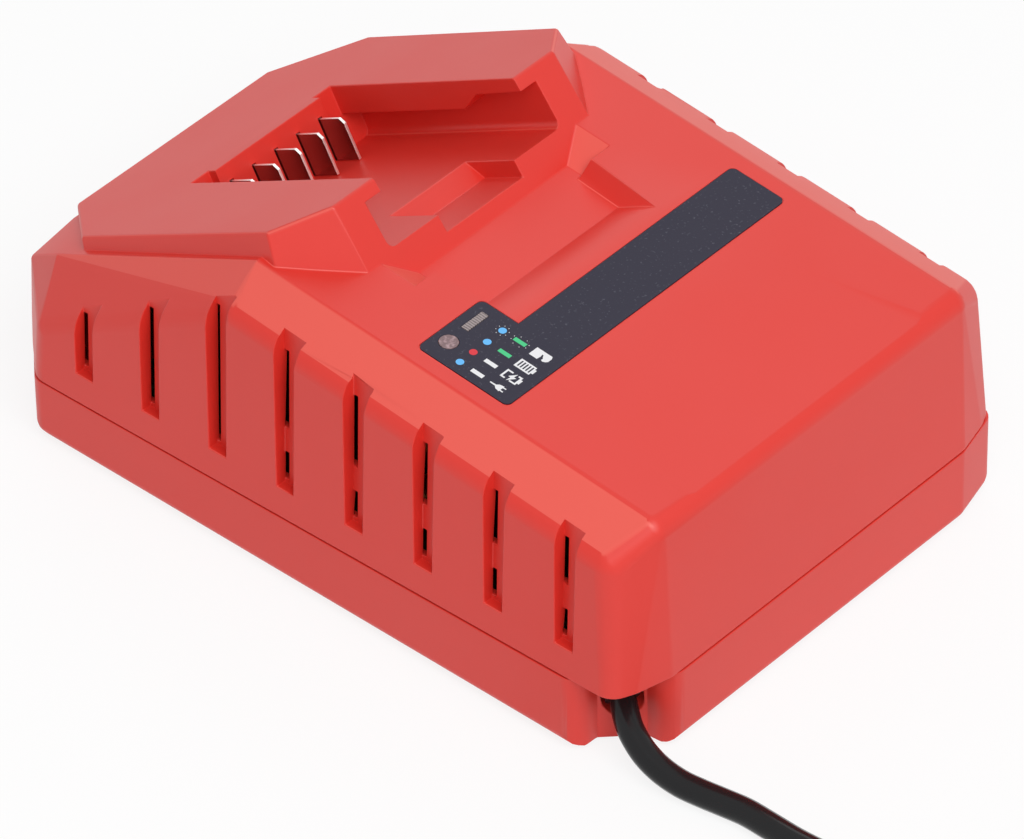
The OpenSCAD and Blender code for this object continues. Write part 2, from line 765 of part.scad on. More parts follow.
module display_board() {
    color([0.10, 0.35, 0.18]) on_top() difference() {
        translate([-label_half - 1, label_y - 1, display_z - board_t])
            cube([label_block_w + 3, label_strip + label_block_l + 6, board_t]);
        for (p = display_posts) translate([p.x, p.y, display_z - 4]) cylinder(h = 8, r = 1.2);
    }
}

module display_screws() {
    color("silver") on_top() for (p = display_posts) translate([p.x, p.y, display_z - board_t]) {
        translate([0, 0, -1.5]) cylinder(h = 1.5, r = 2);
        translate([0, 0, -1]) cylinder(h = board_t + 4.5, r = 1);
    }
}

module status_leds() {
    led = [2.6, 2, -display_z - pipe_l];
    color("white") on_top() for (p = [bar_window, round_window])
        translate([p.x - led.x / 2, p.y - led.y / 2, display_z]) cube(led);
}

// Parts on the main board, each standing on it at its place from the board's front edge
module on_board(place) {
    translate([place.x, board_front + place.y, board_top]) children();
}

core = [40, 34, 32];
core_at = [10, 38];
core_leg = 8;
winding = [core.x - 2 * core_leg - 1, core.y + 8, core.z - 2 * core_leg];
winding_gap = 0.4;

module transformer_core() {
    window = winding + 2 * winding_gap * [1, 0, 1];
    color([0.25, 0.25, 0.26]) on_board(core_at) difference() {
        translate([-core.x / 2, -core.y / 2, 0]) cube(core);
        translate([-window.x / 2, -window.y, core_leg - winding_gap]) cube([window.x, 2 * window.y, window.z]);
    }
}

module transformer_winding() {
    color([0.85, 0.72, 0.25]) on_board(core_at)
        translate([-winding.x / 2, -winding.y / 2, core_leg - winding_gap]) cube(winding);
}

choke_at = [-30, 62];
choke_ring_r = 9;
choke_r = 5;

module line_choke() {
    color([0.72, 0.42, 0.22]) on_board(choke_at) translate([0, 0, choke_r])
        rotate_extrude() translate([choke_ring_r, 0]) circle(choke_r);
}

bulk_at = [-30, 33];
bulk_r = 12.5;
bulk_h = 40;

module bulk_capacitor() {
    rim = 1.5;
    color([0.12, 0.14, 0.20]) on_board(bulk_at) {
        cylinder(h = bulk_h - rim, r = bulk_r);
        cylinder(h = bulk_h, r = bulk_r - rim);
    }
}

filter_at = [-22, 6];
filter_size = [20, 10, 16];

module filter_capacitor() {
    color([0.85, 0.62, 0.15]) on_board(filter_at) cube(filter_size);
}

output_at = [-22, 84];
output_pitch = 16;
output_r = 6.3;
output_h = 25;

module output_capacitors() {
    color([0.12, 0.14, 0.20]) for (k = [0, 1])
        on_board(output_at + [0, k * output_pitch]) cylinder(h = output_h, r = output_r);
}

rectifier_at = [6, 4];
rectifier_size = [20, 4, 15];

module bridge_rectifier() {
    color([0.10, 0.10, 0.11]) on_board(rectifier_at) cube(rectifier_size);
}

fuse_at = [-2, 13];
fuse_l = 20;
fuse_r = 2.6;
fuse_cap_l = 5;

module line_fuse() {
    color([0.80, 0.80, 0.78]) on_board(fuse_at) translate([0, 0, fuse_r]) rotate([0, 90, 0]) {
        cylinder(h = fuse_l, r = fuse_r - 0.1);
        cylinder(h = fuse_cap_l, r = fuse_r);
        translate([0, 0, fuse_l - fuse_cap_l]) cylinder(h = fuse_cap_l, r = fuse_r);
    }
}

sink_at = [36, 16];
sink_l = 90;
sink_h = 30;
sink_t = 2;
fin_l = 7;
fin_t = 1.2;
fin_pitch = 10;
fin_first = 4;
transistor_size = [4.6, 10.2, 15];
transistor_places = [8, 55];

module heat_sink() {
    color([0.75, 0.76, 0.78]) on_board(sink_at) {
        cube([sink_t, sink_l, sink_h]);
        for (y = [fin_first:fin_pitch:sink_l - fin_t])
            translate([sink_t - eps, y, 0]) cube([fin_l, fin_t, sink_h]);
    }
}

module power_transistors() {
    color([0.10, 0.10, 0.11]) for (y = transistor_places) on_board(sink_at)
        translate([-transistor_size.x, y, 4]) cube(transistor_size);
}

// Place and size of each control chip
chips = [[[2, 74], [10, 6, 2]], [[2, 90], [12, 7, 2]], [[14, 108], [6.5, 4.6, 3.5]]];

module control_chips() {
    color([0.10, 0.10, 0.11]) for (c = chips) on_board(c[0]) cube(c[1]);
}

terminal_size = [14, 9, 12];
terminal_at = [-45, 11];

module mains_terminal() {
    color([0.15, 0.45, 0.25]) on_board(terminal_at) cube(terminal_size);
}

// Two cores of the lead, from the strain relief's inner end down to the terminal
relief_in = 20;
module inlet_wires() {
    start = exit_point - relief_in * exit_dir;
    goal = [terminal_at.x + terminal_size.x / 2, board_front + terminal_at.y, board_top + 5];
    for (s = [-1, 1]) {
        side = [s * 1.5, 0, 0];
        color(s < 0 ? "saddlebrown" : "royalblue") tube([
            start + side, start + side - 2.2 * exit_dir, goal + 1.6 * side + [-1, -5, 2.2],
            goal + 1.6 * side + [0, -2.2, 0], goal + 1.6 * side
        ], 1.1, 8);
    }
}

// Tapered sleeve: seats with its flange on the collar inside the bay's slanted wall
module strain_relief() {
    color([0.13, 0.13, 0.14]) on_exit() rotate_extrude() polygon([
        [0, 0], [cord_d / 2 + 0.8, 0], [4.6, -6], [4.6, -10], [6.2, -10], [6.2, -12],
        [5, -12], [cord_d / 2 + 0.6, -relief_in], [0, -relief_in]
    ]);
}

module housing_screws() {
    color("silver") for (p = posts) translate([p.x, p.y, head_z - 2.2]) {
        difference() {
            cylinder(h = 2.2, r = screw_head_r);
            for (a = [0, 90]) rotate(a) translate([-1.8, -0.35, -1]) cube([3.6, 0.7, 2]);
        }
        translate([0, 0, 2]) cylinder(h = parting_at(p.y) + screw_up - head_z, r = screw_r);
    }
}

module rubber_feet() {
    color([0.10, 0.10, 0.10]) for (p = feet) translate([p.x, p.y, 0]) {
        cylinder(h = foot_out + foot_bed, r = foot_r);
    }
}

module mains_cord() {
    color([0.16, 0.16, 0.17]) tube(lead_route, cord_d / 2, 12);
}

module cord_coil() {
    color([0.16, 0.16, 0.17]) tube(coil_route, cord_d / 2, 6);
}

module plug_lead() {
    color([0.16, 0.16, 0.17]) tube(plug_route, cord_d / 2, 12);
}

// Strap round all the loops at the coil's front
module cord_tie() {
    inner = coil_r - coil_pitch * layer_turns - cord_d / 2 - 0.6;
    outer = coil_r + cord_d / 2 + 0.6;
    high = layer_z + cord_d / 2 + 0.3;
    color([0.10, 0.10, 0.10]) translate([coil_c.x - 4, coil_c.y, 0]) rotate([90, 0, 90])
        linear_extrude(8) difference() {
            translate([-outer - tie_t, 0]) square([outer - inner + 2 * tie_t, high + tie_t]);
            translate([-outer, tie_t]) square([outer - inner, high - tie_t]);
        }
}

module plug_relief() {
    color([0.13, 0.13, 0.14]) translate([coil_left, plug_y, plug_z]) rotate([-90, 0, 0])
        cylinder(h = plug_relief_l, r1 = 5.4, r2 = cord_d / 2 + 0.6);
}

// Flat two-pin plug: a rounded body that narrows to its neck
module plug_body() {
    body_r = 3;
    neck_half = 5;
    taper_l = 20;
    color([0.13, 0.13, 0.14]) translate([coil_left, plug_y, plug_z]) hull()
        for (sx = [-1, 1]) for (sz = [-1, 1]) {
            translate([sx * (plug_w / 2 - body_r), -taper_l, sz * (plug_t / 2 - body_r)])
                rotate([90, 0, 0]) cylinder(h = plug_l - taper_l, r = body_r, $fn = 24);
            translate([sx * (neck_half - body_r + 1), 0, sz * (neck_half - body_r + 1)])
                rotate([90, 0, 0]) cylinder(h = 1, r = body_r - 1, $fn = 24);
        }
}

module plug_pins() {
    color("silver") for (s = [-1, 1])
        translate([coil_left + s * pin_pitch / 2, plug_y - plug_l, plug_z]) rotate([90, 0, 0])
            rotate_extrude() polygon([
                [0, 0], [pin_d / 2, 0], [pin_d / 2, pin_l - 1.2], [pin_d / 2 - 1, pin_l], [0, pin_l]
            ]);
}

upper_housing();
lower_housing();
label_overlay();
status_window_bar();
status_window_round();
contact_blades();
contact_carrier();
contact_leads();
main_board();
board_screws();
display_board();
display_screws();
status_leds();
transformer_core();
transformer_winding();
line_choke();
bulk_capacitor();
filter_capacitor();
output_capacitors();
bridge_rectifier();
line_fuse();
heat_sink();
power_transistors();
control_chips();
mains_terminal();
inlet_wires();
strain_relief();
housing_screws();
rubber_feet();
mains_cord();
cord_coil();
plug_lead();
cord_tie();
plug_relief();
plug_body();
plug_pins();
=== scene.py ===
# %% [markdown]
# # A bench charger for slide-in tool batteries
# This lesson dresses a charger whose solids were made in CAD. The CAD pieces come in as a fixed
# frame, in metres, and each one either keeps its shape and gets a finish, or is replaced by a
# piece with softened moulded edges. The camera and the lead come first, then the room, the
# finishes, the housing, the status panel and at last everything inside.

# %% Load the frame
import json
import math

import bmesh
import bpy
from mathutils import Matrix, Vector
from mathutils.bvhtree import BVHTree
from mathutils.kdtree import KDTree


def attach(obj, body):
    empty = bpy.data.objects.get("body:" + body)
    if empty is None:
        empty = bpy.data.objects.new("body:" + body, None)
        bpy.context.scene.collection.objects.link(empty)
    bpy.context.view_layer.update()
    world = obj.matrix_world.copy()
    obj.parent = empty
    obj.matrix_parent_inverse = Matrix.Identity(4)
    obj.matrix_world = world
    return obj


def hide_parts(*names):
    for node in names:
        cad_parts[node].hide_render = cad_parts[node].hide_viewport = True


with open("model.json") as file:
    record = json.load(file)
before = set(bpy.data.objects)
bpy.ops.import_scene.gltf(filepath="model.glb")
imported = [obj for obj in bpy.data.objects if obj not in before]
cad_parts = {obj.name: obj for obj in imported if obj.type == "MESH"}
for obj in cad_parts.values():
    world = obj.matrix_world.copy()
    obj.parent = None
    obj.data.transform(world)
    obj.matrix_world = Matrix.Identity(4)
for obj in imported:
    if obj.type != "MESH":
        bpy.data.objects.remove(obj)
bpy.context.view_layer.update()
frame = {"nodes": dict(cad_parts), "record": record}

print("CAD nodes:", len(frame["nodes"]))

MM = 0.001
scene = bpy.context.scene

# %% [markdown]
# ## The camera
# The photograph was taken with a long lens, from the front left and from above. The place of the
# camera was worked out from edges that come in mirrored pairs on the body. A long lens keeps
# parallel edges nearly parallel, so the distance matters less than the two angles.

# %% Camera
CAMERA_TURN = -47.713
CAMERA_RISE = 40.668
CAMERA_ROLL = -0.950
CAMERA_DISTANCE = 2096.3 * MM
CAMERA_AIM = Vector((-11.17, -17.04, 25.43)) * MM
LENS = 318.7
SENSOR_WIDTH = 36
CAMERA_REACH = (0.05, 50)


def place_camera():
    turn, rise, roll = (math.radians(a) for a in (CAMERA_TURN, CAMERA_RISE, CAMERA_ROLL))
    back = Vector((
        math.sin(turn) * math.cos(rise), -math.cos(turn) * math.cos(rise), math.sin(rise)
    ))
    right = Vector((0, 0, 1)).cross(back).normalized()
    up = back.cross(right)
    rolled_right = right * math.cos(roll) + up * math.sin(roll)
    rolled_up = up * math.cos(roll) - right * math.sin(roll)
    place = Matrix((rolled_right, rolled_up, back)).transposed().to_4x4()
    place.translation = CAMERA_AIM + back * CAMERA_DISTANCE
    data = bpy.data.cameras.new("camera")
    data.lens = LENS
    data.sensor_width = SENSOR_WIDTH
    data.sensor_fit = "HORIZONTAL"
    data.clip_start, data.clip_end = CAMERA_REACH
    camera = bpy.data.objects.new("camera", data)
    camera.matrix_world = place
    scene.collection.objects.link(camera)
    scene.camera = camera
    return camera


camera = place_camera()
print("camera at", [round(v, 3) for v in camera.location])

# %% [markdown]
# ## The mains lead
# A round flexible lead, 6.5 mm thick. It comes out of a hole in the bay under the front left
# corner, falls to the bench in one soft curve and runs forward out of the picture. What the
# photograph doesn't show is put away as a coil. The route is the one that the CAD follows; here
# it becomes one smooth curve with a round section.

# %% Lead route
CORD_D = 6.5
COIL_R = 49.5
LAYER_TURNS = 3.5
COIL_GAP = 0.5
TIE_T = 0.6
TIE_GAP = 0.1
COIL_CENTRE = (8, -234)
EXIT_POINT = Vector((-56, -90, 13))
EXIT_HEADING = math.radians(34)
EXIT_FALL = math.radians(30)
PLUG_Z = 7
PLUG_FALLS = (
    (0, 0), (4, 0), (9, 0.09), (13, 0.26), (17.5, 0.5), (22, 0.74), (26, 0.91), (31, 1), (32, 1),
)
STEPS_PER_TURN = 48
STEPS_PER_STRETCH = 6
CLIMB_SPEED = 4

exit_dir = Vector((
    -math.sin(EXIT_HEADING) * math.cos(EXIT_FALL),
    -math.cos(EXIT_HEADING) * math.cos(EXIT_FALL),
    -math.sin(EXIT_FALL),
))
coil_z = CORD_D / 2 + TIE_T + TIE_GAP
layer_z = coil_z + CORD_D + COIL_GAP
coil_pitch = CORD_D + COIL_GAP
coil_left = COIL_CENTRE[0] - COIL_R
coil_in_y = COIL_CENTRE[1] + CORD_D
coil_out_y = COIL_CENTRE[1] - CORD_D

lead_points = [
    EXIT_POINT, EXIT_POINT + CORD_D * exit_dir, (-60.7, -98.5, 7.8), (-61.6, -102.5, 6.2),
    (-61.8, -107, 4.8), (-61.4, -112, 3.8), (-60.5, -117, 3.4), (-59.4, -123, 3.3),
    (-58.5, -129, 3.3), (-58.5, -136, 3.3), (-58.5, -145, 3.3), (-57.5, -155, 3.4),
    (-55.5, -165, 3.5), (-52.5, -175, 3.6), (-49.5, -185, 3.7), (-46.5, -195, 3.8),
    (-44, -205, 3.9), (-42.2, -215, 4),
    (coil_left, coil_in_y + 2, coil_z), (coil_left, coil_in_y, coil_z),
]
plug_points = [
    (coil_left, coil_out_y - along, layer_z - fallen * (layer_z - PLUG_Z))
    for along, fallen in PLUG_FALLS
]


def coil_points():
    """The loops, from the left round the front: in along the lower layer, out on the upper."""
    points = []
    for k in range(int(2 * LAYER_TURNS * STEPS_PER_TURN) + 1):
        t = k / STEPS_PER_TURN
        radius = COIL_R - coil_pitch * (LAYER_TURNS - abs(t - LAYER_TURNS))
        climb = math.sin(math.pi / 2 * min(max((t - LAYER_TURNS) * CLIMB_SPEED, -1), 1))
        points.append((
            COIL_CENTRE[0] - radius * math.cos(2 * math.pi * t),
            COIL_CENTRE[1] - radius * math.sin(2 * math.pi * t),
            (coil_z + layer_z) / 2 + (layer_z - coil_z) / 2 * climb,
        ))
    return points


def through(points):
    """A smooth line through the points, with a few steps between each two of them."""
    p = [Vector(q) for q in points]
    p = [2 * p[0] - p[1]] + p + [2 * p[-1] - p[-2]]
    line = []
    for a, b, c, d in zip(p, p[1:], p[2:], p[3:]):
        for k in range(STEPS_PER_STRETCH):
            t = k / STEPS_PER_STRETCH
            line.append(0.5 * (
                2 * b + (c - a) * t + (2 * a - 5 * b + 4 * c - d) * t * t
                + (3 * b - a - 3 * c + d) * t ** 3
            ))
    return line + [p[-2]]


in_coil = [Vector(p) for p in coil_points()]
cord_line = [p * MM for p in through(lead_points)[:-1] + in_coil + through(plug_points)]


# %% Lead
def cord_curve(name, line, diameter):
    data = bpy.data.curves.new(name, "CURVE")
    data.dimensions = "3D"
    data.bevel_depth = 1
    data.bevel_resolution = 5
    data.use_fill_caps = True
    spline = data.splines.new("POLY")
    spline.points.add(len(line) - 1)
    for point, place in zip(spline.points, line):
        point.co = (*place, 1)
        point.radius = diameter / 2
    spline.use_smooth = True
    obj = bpy.data.objects.new(name, data)
    scene.collection.objects.link(obj)
    return obj


mains_lead = cord_curve("mains_lead", cord_line, CORD_D * MM)
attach(mains_lead, "root")
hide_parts("mains_cord", "cord_coil", "plug_lead")

# %% [markdown]
# ## Room and light
# The photograph is a cut-out on white with an even, soft light. A white floor and a white world
# give that, and what mirrors show of them puts the pale sheen on the sloping dock. A brighter
# backdrop would wash the object out, so rays straight from the camera see plain white instead.
# The floor keeps a trace of shadow, so that the charger stands on something.

# %% Floor and world
FLOOR_COLOUR = (0.93, 0.93, 0.93, 1)
FLOOR_HALF = 6
FLOOR_Z = -0.1 * MM
FLOOR_WHITENED = 0.85
WORLD_STRENGTH = 0.40


def maths(tree, operation, *values):
    """A sum in a node tree: each value is a socket to link from or a plain number."""
    node = tree.nodes.new("ShaderNodeMath")
    node.operation = operation
    for socket, value in zip(node.inputs, values):
        if isinstance(value, (int, float)):
            socket.default_value = value
        else:
            tree.links.new(value, socket)
    return node.outputs[0]


def seen_white(tree, base, to_camera):
    """Plain white in mirrors and lenses, and, by the given share, straight in the camera."""
    nodes, links = tree.nodes, tree.links
    path = nodes.new("ShaderNodeLightPath")
    straight = maths(tree, "MULTIPLY", path.outputs["Is Camera Ray"], to_camera)
    mirrored = maths(
        tree, "MAXIMUM", path.outputs["Is Glossy Ray"], path.outputs["Is Transmission Ray"]
    )
    share = maths(tree, "MAXIMUM", straight, mirrored)
    white = nodes.new("ShaderNodeEmission")
    white.inputs["Color"].default_value = (1, 1, 1, 1)
    mix = nodes.new("ShaderNodeMixShader")
    links.new(share, mix.inputs[0])
    links.new(base, mix.inputs[1])
    links.new(white.outputs[0], mix.inputs[2])
    return mix.outputs[0]


def floor_material():
    material = bpy.data.materials.new("floor_white")
    material.use_nodes = True
    tree = material.node_tree
    surface = tree.nodes["Principled BSDF"]
    surface.inputs["Base Color"].default_value = FLOOR_COLOUR
    surface.inputs["Roughness"].default_value = 0.9
    shown = seen_white(tree, surface.outputs[0], FLOOR_WHITENED)
    tree.links.new(shown, tree.nodes["Material Output"].inputs["Surface"])
    return material


def make_floor():
    corners = [(FLOOR_HALF * x, FLOOR_HALF * y, 0) for x, y in ((-1, -1), (1, -1), (1, 1), (-1, 1))]
    mesh = bpy.data.meshes.new("floor")
    mesh.from_pydata(corners, [], [(0, 1, 2, 3)])
    floor = bpy.data.objects.new("floor", mesh)
    floor.location.z = FLOOR_Z
    floor.data.materials.append(floor_material())
    scene.collection.objects.link(floor)


def make_world():
    world = bpy.data.worlds.new("studio")
    scene.world = world
    world.use_nodes = True
    tree = world.node_tree
    soft = tree.nodes["Background"]
    soft.inputs["Color"].default_value = (1, 1, 1, 1)
    soft.inputs["Strength"].default_value = WORLD_STRENGTH
    shown = seen_white(tree, soft.outputs[0], 1.0)
    tree.links.new(shown, tree.nodes["World Output"].inputs["Surface"])


make_floor()
make_world()
print("floor and world made")

# %% [markdown]
# ## Lamps
# One broad lamp stands near the camera, higher and a little to its right, so the faces turned to
# the viewer are light and the shadows fall behind. A weak second lamp at the rear right keeps the
# far side from going dark. Small lamps would give hard edges that the photograph doesn't have.


# %% Lamps
def soft_lamp(name, place, size, power):
    data = bpy.data.lights.new(name, "AREA")
    data.shape = "SQUARE"
    data.size = size
    data.energy = power
    lamp = bpy.data.objects.new(name, data)
    lamp.location = place
    lamp.rotation_euler = (-Vector(place)).to_track_quat("-Z", "Y").to_euler()
    scene.collection.objects.link(lamp)


soft_lamp("lamp_key", (-0.48, -0.95, 1.45), 1.3, 22.5)
soft_lamp("lamp_rear", (0.9, 0.9, 1.1), 0.9, 3)
scene.view_settings.view_transform = "Standard"
print("two lamps made")

# %% [markdown]
# ## Shared effects
# Two effects come back in nearly every finish: the fine grain that a moulding tool leaves on
# plastic, and a slow drift of tone over a large part. Specks come back in the film and in the
# frosted window. Each is built once as a node group with named sockets, and each material gives
# it its own values. The ribs of the bar-shaped window and the mask for the painted sheen, a paler
# red painted onto the slanting shoulders of the shell, are built the same way, so that their
# numbers stand beside the others.


# %% Effect groups
PATCH_SCALE = 45
SPECK_FULL = 0.85


def new_group(name, inputs, outputs):
    group = bpy.data.node_groups.new(name, "ShaderNodeTree")
    for kind, label, value in inputs:
        socket = group.interface.new_socket(label, in_out="INPUT", socket_type=kind)
        socket.default_value = value
    for kind, label in outputs:
        group.interface.new_socket(label, in_out="OUTPUT", socket_type=kind)
    start = group.nodes.new("NodeGroupInput")
    end = group.nodes.new("NodeGroupOutput")
    return group, start, end


def noise(group, scale, detail):
    """Noise that sticks to the object; its scale is a socket to link from or a plain number."""
    place = group.nodes.new("ShaderNodeTexCoord")
    node = group.nodes.new("ShaderNodeTexNoise")
    node.inputs["Detail"].default_value = detail
    group.links.new(place.outputs["Object"], node.inputs["Vector"])
    if isinstance(scale, (int, float)):
        node.inputs["Scale"].default_value = scale
    else:
        group.links.new(scale, node.inputs["Scale"])
    return node.outputs[0]


def soft_step(group, value, low, high):
    """0 below low and 1 above high, with a smooth rise; low and high as in maths()."""
    node = group.nodes.new("ShaderNodeMapRange")
    node.interpolation_type = "SMOOTHSTEP"
    group.links.new(value, node.inputs["Value"])
    for label, end in (("From Min", low), ("From Max", high)):
        if isinstance(end, (int, float)):
            node.inputs[label].default_value = end
        else:
            group.links.new(end, node.inputs[label])
    return node.outputs[0]


def grain_group():
    """Fine moulded grain: a height for a bump, and a roughness that follows it."""
    group, start, end = new_group(
        "moulded_grain",
        [("NodeSocketFloat", "Grain Scale", 2500.0), ("NodeSocketFloat", "Roughness", 0.4),
         ("NodeSocketFloat", "Variation", 0.06)],
        [("NodeSocketFloat", "Height"), ("NodeSocketFloat", "Roughness")],
    )
    grain = noise(group, start.outputs["Grain Scale"], 3)
    patches = noise(group, PATCH_SCALE, 2)
    centred = maths(group, "SUBTRACT", patches, 0.5)
    rough = maths(
        group, "MULTIPLY_ADD", centred, start.outputs["Variation"], start.outputs["Roughness"]
    )
    group.links.new(grain, end.inputs["Height"])
    group.links.new(rough, end.inputs["Roughness"])
    return group


def tone_group():
    """A slow drift between a darker and a lighter version of one colour."""
    group, start, end = new_group(
        "tone_drift",
        [("NodeSocketColor", "Color", (0.5, 0.5, 0.5, 1)), ("NodeSocketFloat", "Scale", 12.0),
         ("NodeSocketFloat", "Amount", 0.05)],
        [("NodeSocketColor", "Color")],
    )
    drift = noise(group, start.outputs["Scale"], 3)
    spread = maths(group, "MULTIPLY_ADD", drift, start.outputs["Amount"], 1.0)
    shade = group.nodes.new("ShaderNodeVectorMath")
    shade.operation = "SCALE"
    group.links.new(start.outputs["Color"], shade.inputs[0])
    group.links.new(spread, shade.inputs["Scale"])
    group.links.new(shade.outputs[0], end.inputs["Color"])
    return group


def speck_group():
    """A mask of small scattered specks."""
    group, start, end = new_group(
        "specks",
        [("NodeSocketFloat", "Scale", 1200.0), ("NodeSocketFloat", "Share", 0.36)],
        [("NodeSocketFloat", "Mask")],
    )
    dots = noise(group, start.outputs["Scale"], 1)
    level = maths(group, "SUBTRACT", 1.0, start.outputs["Share"])
    group.links.new(soft_step(group, dots, level, SPECK_FULL), end.inputs["Mask"])
    return group


def rib_group():
    """A mask of fine ribs across a lens, with a slight waver."""
    group, start, end = new_group(
        "lens_ribs",
        [("NodeSocketFloat", "Scale", 600.0), ("NodeSocketFloat", "Waver", 1.5)],
        [("NodeSocketFloat", "Mask")],
    )
    nodes, links = group.nodes, group.links
    place = nodes.new("ShaderNodeTexCoord")
    ribs = nodes.new("ShaderNodeTexWave")
    ribs.wave_type = "BANDS"
    ribs.bands_direction = "X"
    ribs.inputs["Detail Scale"].default_value = 3.0
    links.new(place.outputs["Object"], ribs.inputs["Vector"])
    links.new(start.outputs["Scale"], ribs.inputs["Scale"])
    links.new(start.outputs["Waver"], ribs.inputs["Distortion"])
    links.new(ribs.outputs["Fac"], end.inputs["Mask"])
    return group


def painted_sheen_group():
    """A mask of the faces that slant to one side, such as the shoulders, for painted sheen."""
    group, start, end = new_group(
        "painted_sheen_mask",
        [("NodeSocketFloat", "Side Low", 0.30), ("NodeSocketFloat", "Side High", 0.42),
         ("NodeSocketFloat", "Up Low", 0.70), ("NodeSocketFloat", "Up High", 0.82)],
        [("NodeSocketFloat", "Mask")],
    )
    surface = group.nodes.new("ShaderNodeNewGeometry")
    parts = group.nodes.new("ShaderNodeSeparateXYZ")
    group.links.new(surface.outputs["Normal"], parts.inputs[0])
    aside = maths(group, "ABSOLUTE", parts.outputs["X"])
    to_side = soft_step(group, aside, start.outputs["Side Low"], start.outputs["Side High"])
    upward = soft_step(
        group, parts.outputs["Z"], start.outputs["Up Low"], start.outputs["Up High"]
    )
    group.links.new(maths(group, "MULTIPLY", to_side, upward), end.inputs["Mask"])
    return group


GRAIN = grain_group()
TONE = tone_group()
SPECKS = speck_group()
RIBS = rib_group()
PAINTED_SHEEN_MASK = painted_sheen_group()
print("effect groups:", GRAIN.name, TONE.name, SPECKS.name, RIBS.name, PAINTED_SHEEN_MASK.name)

# %% [markdown]
# ## Finishes
# Almost every part here is plastic, metal or a laminated board, so one function lays out the
# nodes: tone into the colour, grain into the roughness and the bump. What is the same all over a
# surface, such as metalness or sheen, is set on the shader itself.


# %% Finish function
def finish(name, colour, roughness, grain=2500, bump=0.02, tone=0.05, metallic=0.0, specular=0.5):
    """A material; the grain's scale is per metre and the bump's depth in millimetres."""
    material = bpy.data.materials.new(name)
    material.use_nodes = True
    nodes, links = material.node_tree.nodes, material.node_tree.links
    surface = nodes["Principled BSDF"]
    surface.inputs["Metallic"].default_value = metallic
    surface.inputs["Specular IOR Level"].default_value = specular
    shade = nodes.new("ShaderNodeGroup")
    shade.node_tree = TONE
    shade.inputs["Color"].default_value = (*colour, 1)
    shade.inputs["Amount"].default_value = tone
    links.new(shade.outputs["Color"], surface.inputs["Base Color"])
    texture = nodes.new("ShaderNodeGroup")
    texture.node_tree = GRAIN
    texture.inputs["Grain Scale"].default_value = grain
    texture.inputs["Roughness"].default_value = roughness
    links.new(texture.outputs["Roughness"], surface.inputs["Roughness"])
    height = nodes.new("ShaderNodeBump")
    height.inputs["Strength"].default_value = 1.0
    height.inputs["Distance"].default_value = bump * MM
    links.new(texture.outputs["Height"], height.inputs["Height"])
    links.new(height.outputs["Normal"], surface.inputs["Normal"])
    return material


# %% Finishes of this charger
FINISHES = {
    "red_shell": finish("red_shell", (0.70, 0.033, 0.022), 0.42, grain=1800, bump=0.012, tone=0.04),
    "panel_film": finish("panel_film", (0.026, 0.024, 0.040), 0.55, grain=1400, tone=0.25,
                         specular=0.2),
    "contact_metal": finish("contact_metal", (0.90, 0.89, 0.87), 0.42, grain=900, bump=0.004,
                            metallic=1.0),
    "black_plastic": finish("black_plastic", (0.02, 0.02, 0.021), 0.45),
    "lead_insulation": finish("lead_insulation", (0.45, 0.02, 0.02), 0.4),
    "circuit_board": finish("circuit_board", (0.012, 0.14, 0.045), 0.3, grain=700, tone=0.3),
    "zinc_steel": finish("zinc_steel", (0.62, 0.62, 0.60), 0.3, grain=1500, bump=0.01,
                         metallic=1.0),
    "white_plastic": finish("white_plastic", (0.80, 0.80, 0.78), 0.35),
    "ferrite": finish("ferrite", (0.055, 0.055, 0.06), 0.7, grain=900, bump=0.05, tone=0.2),
    "winding_tape": finish("winding_tape", (0.70, 0.48, 0.06), 0.25, grain=300, bump=0.05,
                           tone=0.15),
    "copper": finish("copper", (0.70, 0.30, 0.12), 0.3, grain=300, bump=0.15, tone=0.2,
                     metallic=1.0),
    "capacitor_sleeve": finish("capacitor_sleeve", (0.015, 0.02, 0.06), 0.3, tone=0.1),
    "amber_plastic": finish("amber_plastic", (0.62, 0.32, 0.04), 0.35),
    "fuse_glass": finish("fuse_glass", (0.75, 0.75, 0.72), 0.25),
    "aluminium": finish("aluminium", (0.78, 0.79, 0.80), 0.35, grain=600, metallic=1.0),
    "green_plastic": finish("green_plastic", (0.02, 0.24, 0.07), 0.4),
    "wire_insulation": finish("wire_insulation", (0.25, 0.11, 0.04), 0.35),
    "cord_rubber": finish("cord_rubber", (0.010, 0.010, 0.011), 0.16, grain=700, bump=0.01,
                          tone=0.2, specular=0.22),
    "foot_rubber": finish("foot_rubber", (0.02, 0.02, 0.02), 0.75, grain=1200, bump=0.05),
    "plated_brass": finish("plated_brass", (0.80, 0.78, 0.74), 0.12, metallic=1.0),
}
print("finishes:", len(FINISHES))


def mixed_in(material, group, inputs, colour, share):
    """Blends a second colour into a finish, by an effect's first output."""
    nodes, links = material.node_tree.nodes, material.node_tree.links
    effect = nodes.new("ShaderNodeGroup")
    effect.node_tree = group
    for label, value in inputs.items():
        effect.inputs[label].default_value = value
    part = maths(material.node_tree, "MULTIPLY", effect.outputs[0], share)
    mix = nodes.new("ShaderNodeMix")
    mix.data_type = "RGBA"
    base = nodes["Principled BSDF"].inputs["Base Color"]
    links.new(part, mix.inputs["Factor"])
    links.new(base.links[0].from_socket, mix.inputs["A"])
    mix.inputs["B"].default_value = (*colour, 1)
    links.new(mix.outputs["Result"], base)


